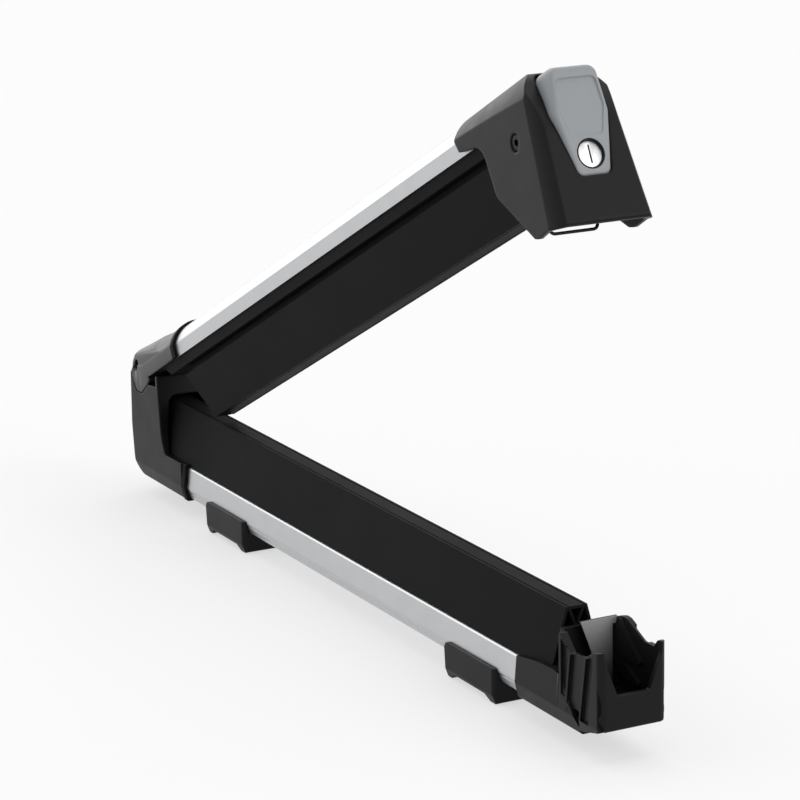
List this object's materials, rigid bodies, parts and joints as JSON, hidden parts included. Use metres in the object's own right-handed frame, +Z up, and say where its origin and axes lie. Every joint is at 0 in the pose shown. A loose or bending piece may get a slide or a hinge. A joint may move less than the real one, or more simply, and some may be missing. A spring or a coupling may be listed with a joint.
{
  "type": "roof ski carrier",
  "caption": "Hinged roof ski carrier: two aluminium arms with facing rubber strips, a rising hinge, a push-button latch with lock and sliding feet under the lower arm.",
  "frame": {"origin": "middle of the carrier's bounding box in plan, at the level of the roof bar the feet stand on", "axes": "+X along the lower arm from the hinge to the latch end, +Y across the carrier, +Z up"},
  "size_m": [0.6103, 0.0602, 0.3579],
  "materials": {
    "anodised_rail": "satin anodised extrusion",
    "black_rubber": "soft matt black rubber extrusion",
    "black_plastic": "fine-textured black moulding",
    "grey_cap": "satin dark grey moulding",
    "grey_button": "satin grey moulding",
    "lock_metal": "nickel-plated lock barrel",
    "steel": "zinc-plated steel",
    "dark_steel": "black-coated steel"
  },
  "bodies": {
    "base": {"lower_rail": "anodised_rail", "lower_rubber": "black_rubber", "hinge_tower": "black_plastic", "lower_gasket": "black_rubber", "catch_housing": "black_plastic", "tower_screws": "steel", "catch_screws": "steel"},
    "carriage": {"hinge_carriage": "black_plastic"},
    "arm": {"hinge_cap": "grey_cap", "hinge_pin": "dark_steel", "upper_gasket": "black_rubber", "upper_rail": "anodised_rail", "upper_rubber": "black_rubber", "latch_housing": "black_plastic", "latch_pin": "dark_steel"},
    "button": {"push_button": "grey_button"},
    "lock": {"lock_cylinder": "lock_metal", "lock_cam": "steel"},
    "bail": {"bail_lever": "black_plastic", "wire_bail": "steel"},
    "hinge_end_clamp": {"hinge_end_foot": "black_plastic", "hinge_end_bolt": "steel", "hinge_end_nut": "steel"},
    "catch_end_clamp": {"catch_end_foot": "black_plastic", "catch_end_bolt": "steel", "catch_end_nut": "steel"}
  },
  "joints": [
    {"name": "hinge_lift", "type": "slide", "parent": "base", "child": "carriage", "axis": [0, 0, 1], "range_m": [0, 0.0403]},
    {"name": "arm_swing", "type": "hinge", "parent": "carriage", "child": "arm", "pos_m": [-0.2964, 0, 0.0875], "axis": [0, -1, 0], "range_deg": [-26.3, 0]},
    {"name": "button_push", "type": "slide", "parent": "arm", "child": "button", "axis": [-0.8965, 0, -0.4431], "range_m": [0, 0.004], "stiffness_N_per_m": 900, "springref_m": -0.004},
    {"name": "lock_turn", "type": "hinge", "parent": "button", "child": "lock", "pos_m": [0.26328, 0, 0.31581], "axis": [0.8965, 0, 0.4431], "range_deg": [0, 90]},
    {"name": "bail_swing", "type": "hinge", "parent": "arm", "child": "bail", "pos_m": [0.2302, 0, 0.31865], "axis": [0, -1, 0], "range_deg": [0, 12]},
    {"name": "hinge_end_foot_slide", "type": "slide", "parent": "base", "child": "hinge_end_clamp", "axis": [1, 0, 0], "range_m": [-0.03, 0.03]},
    {"name": "catch_end_foot_slide", "type": "slide", "parent": "base", "child": "catch_end_clamp", "axis": [1, 0, 0], "range_m": [-0.04, 0.015]}
  ],
  "couplings": [
    {"joint": "hinge_lift", "follows": "arm_swing", "m_per_rad": -0.087795},
    {"joint": "bail_swing", "follows": "button_push", "rad_per_m": 52.36}
  ]
}
